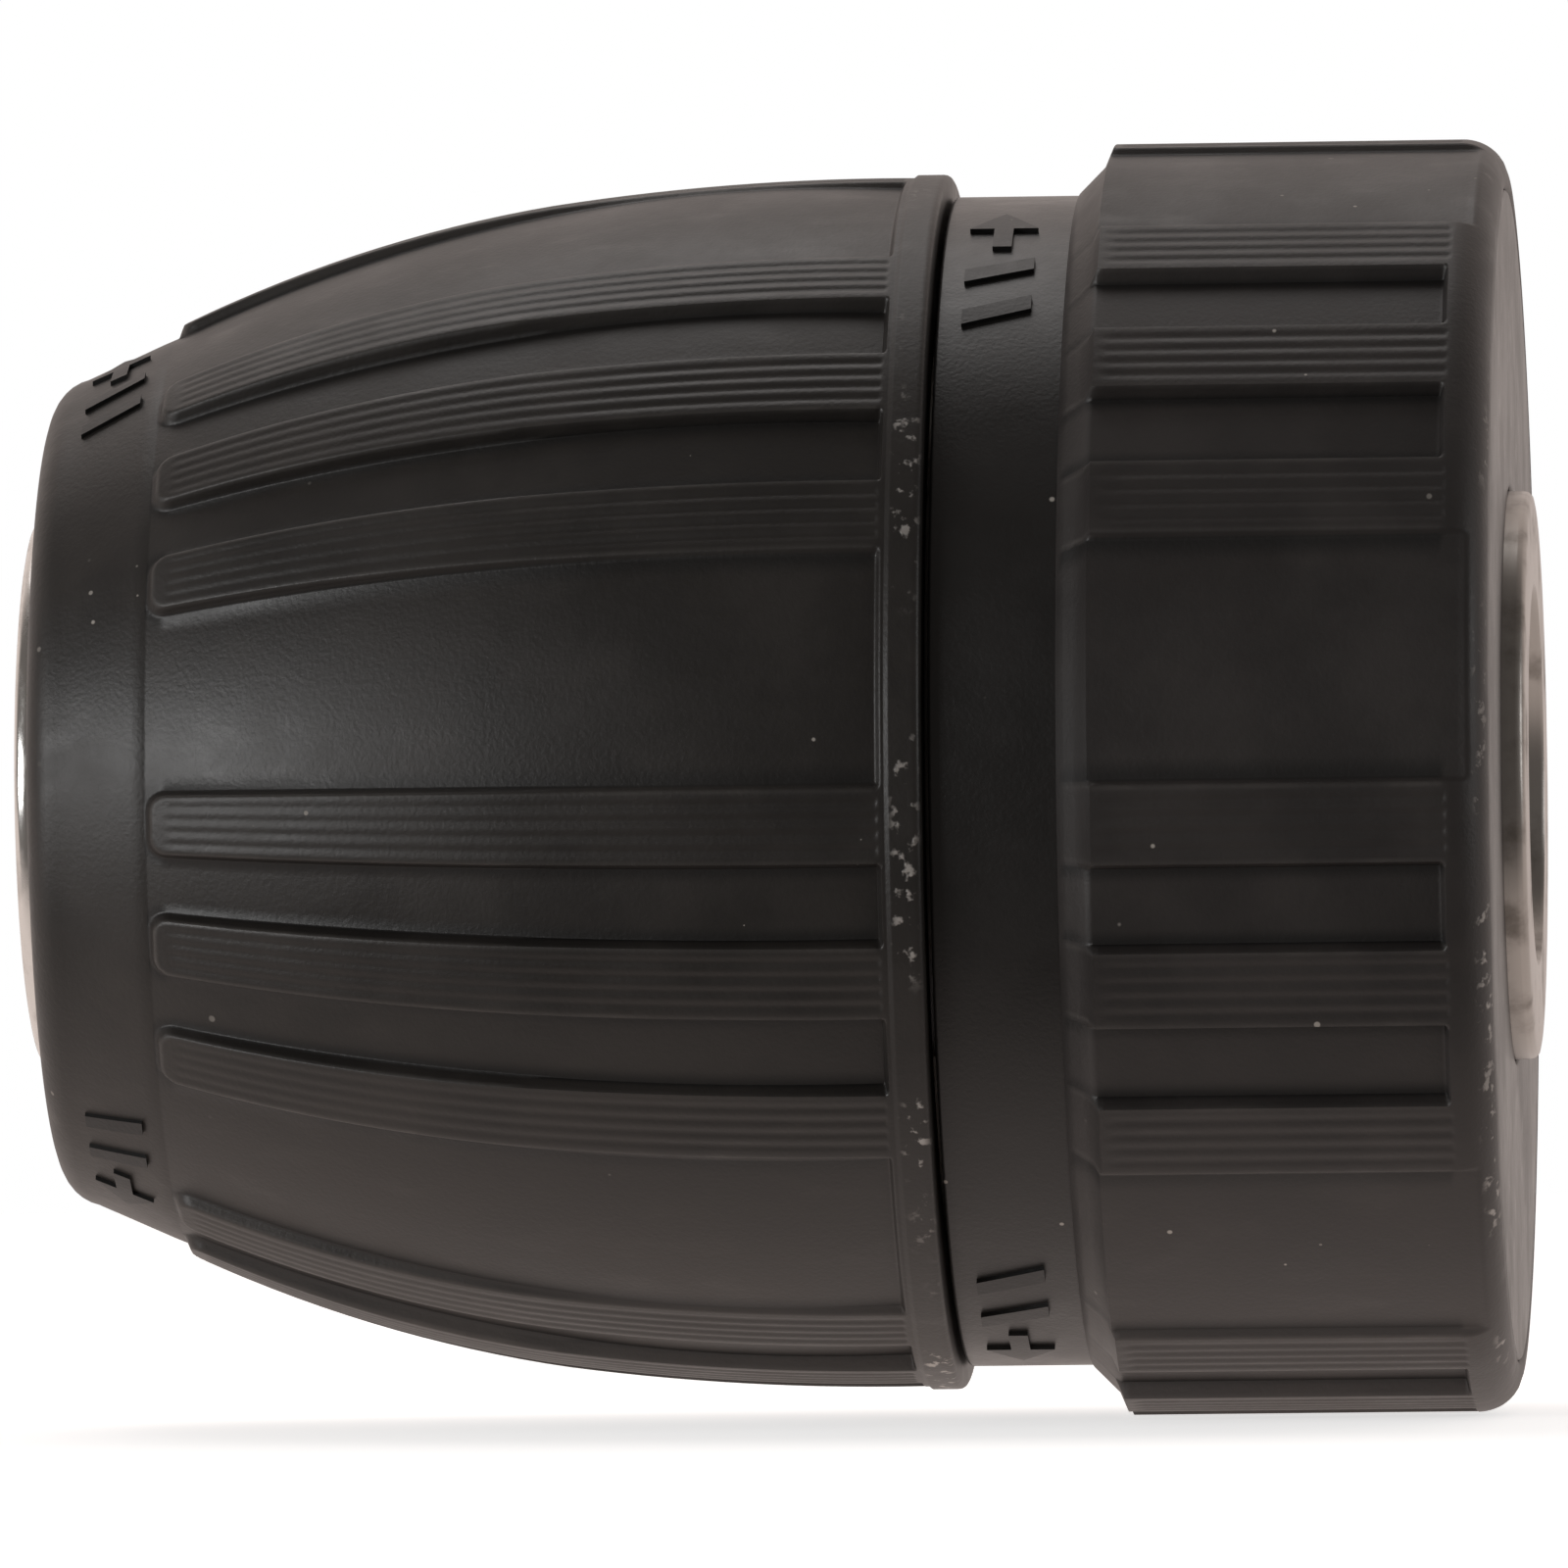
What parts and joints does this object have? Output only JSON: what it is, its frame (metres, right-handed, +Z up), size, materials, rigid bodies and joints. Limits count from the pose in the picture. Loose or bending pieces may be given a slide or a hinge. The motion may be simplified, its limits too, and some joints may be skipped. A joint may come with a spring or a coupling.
{
  "type": "keyless drill chuck",
  "caption": "Keyless drill chuck with a barrel-shaped front sleeve, a rear grip collar, self-centring jaws and a threaded spindle socket.",
  "frame": {"origin": "centre of the hub's rear face, at the mouth of the spindle thread", "axes": "+X along the chuck axis, out of the spindle socket; the nose points to -X; +Z up, through the first jaw"},
  "size_m": [0.0508, 0.043, 0.043],
  "materials": {
    "body_steel": "turned",
    "jaw_steel": "ground, dark",
    "bearing_steel": "ground",
    "spring_steel": "blued",
    "pressed_steel": "pressed",
    "bright_plating": "bright",
    "black_plastic": "fine grain",
    "washer_plastic": "plain",
    "cage_plastic": "plain"
  },
  "bodies": {
    "chuck": {"chuck_body": "body_steel", "thrust_washer": "bearing_steel", "ratchet_ring": "bearing_steel", "nose_washer": "washer_plastic", "nose_wire": "spring_steel", "nosepiece": "bright_plating", "rear_collar": "black_plastic", "rear_grip_ring": "black_plastic"},
    "sleeve": {"front_sleeve": "black_plastic", "sleeve_insert": "pressed_steel", "nut_band": "pressed_steel", "nut_half_1": "bearing_steel", "nut_half_2": "bearing_steel", "nut_race": "bearing_steel", "lock_spring": "spring_steel"},
    "ball_cage": {"bearing_cage": "cage_plastic", "bearing_balls": "bright_plating"},
    "jaw_1": {"jaw_1": "jaw_steel"},
    "jaw_2": {"jaw_2": "jaw_steel"},
    "jaw_3": {"jaw_3": "jaw_steel"}
  },
  "joints": [
    {"name": "sleeve_turn", "type": "hinge", "parent": "chuck", "child": "sleeve", "pos_m": [0, 0, 0], "axis": [1, 0, 0], "range_deg": [0, 3672]},
    {"name": "cage_turn", "type": "hinge", "parent": "chuck", "child": "ball_cage", "pos_m": [0, 0, 0], "axis": [1, 0, 0], "range_deg": [0, 1837]},
    {"name": "jaw_1_slide", "type": "slide", "parent": "chuck", "child": "jaw_1", "axis": [-0.9636, 0, -0.2672], "range_m": [0, 0.01681]},
    {"name": "jaw_2_slide", "type": "slide", "parent": "chuck", "child": "jaw_2", "axis": [-0.9636, 0.2314, 0.1336], "range_m": [0, 0.01681]},
    {"name": "jaw_3_slide", "type": "slide", "parent": "chuck", "child": "jaw_3", "axis": [-0.9636, -0.2314, 0.1336], "range_m": [0, 0.01681]}
  ],
  "couplings": [
    {"joint": "cage_turn", "follows": "sleeve_turn", "ratio": 0.5},
    {"joint": "jaw_1_slide", "follows": "sleeve_turn", "m_per_rad": 0.00026219},
    {"joint": "jaw_2_slide", "follows": "sleeve_turn", "m_per_rad": 0.00026219},
    {"joint": "jaw_3_slide", "follows": "sleeve_turn", "m_per_rad": 0.00026219}
  ]
}
